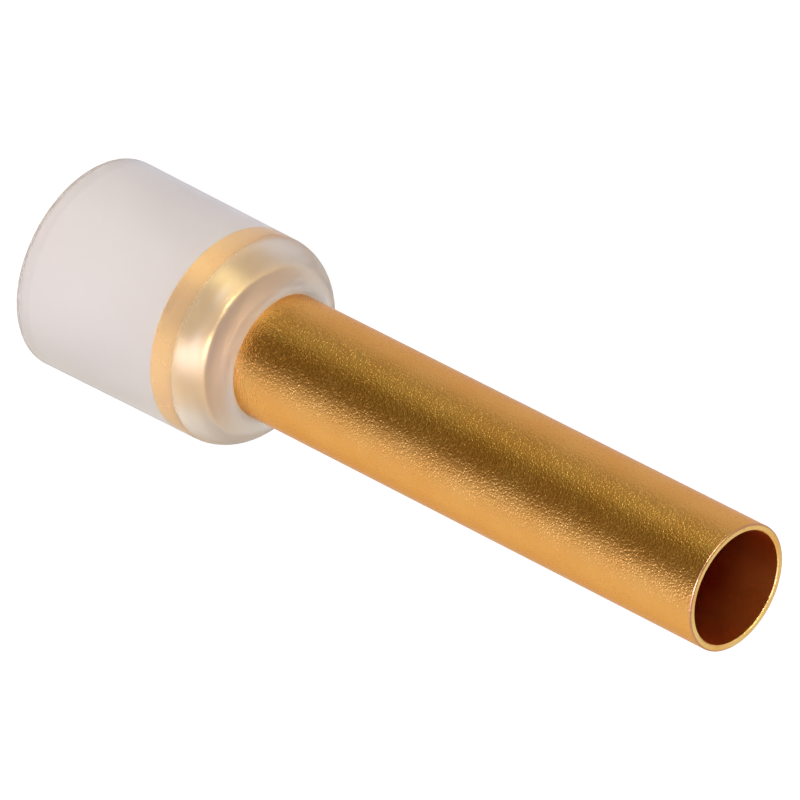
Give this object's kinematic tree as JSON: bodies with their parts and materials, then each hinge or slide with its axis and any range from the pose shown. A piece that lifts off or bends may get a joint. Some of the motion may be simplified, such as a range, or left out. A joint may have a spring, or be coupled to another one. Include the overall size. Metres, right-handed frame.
{
  "type": "wire ferrule",
  "caption": "Insulated wire ferrule: a thin gold-coloured metal sleeve whose flared cup is pressed into a translucent plastic collar.",
  "frame": {"origin": "on the ferrule's axis, at the collar's open end, on which it stands", "axes": "+Z along the sleeve from the collar to the free end; the part is round, so +X and +Y are any two square directions"},
  "size_m": [0.0066, 0.0066, 0.0254],
  "materials": {
    "plated_metal": "thin gold-coloured plating over a drawn tube, satin with fine pits and sparkle",
    "translucent_plastic": "milky translucent moulded plastic with a soft sheen"
  },
  "bodies": {
    "root": {"metal_sleeve": "plated_metal", "plastic_collar": "translucent_plastic"}
  },
  "joints": []
}
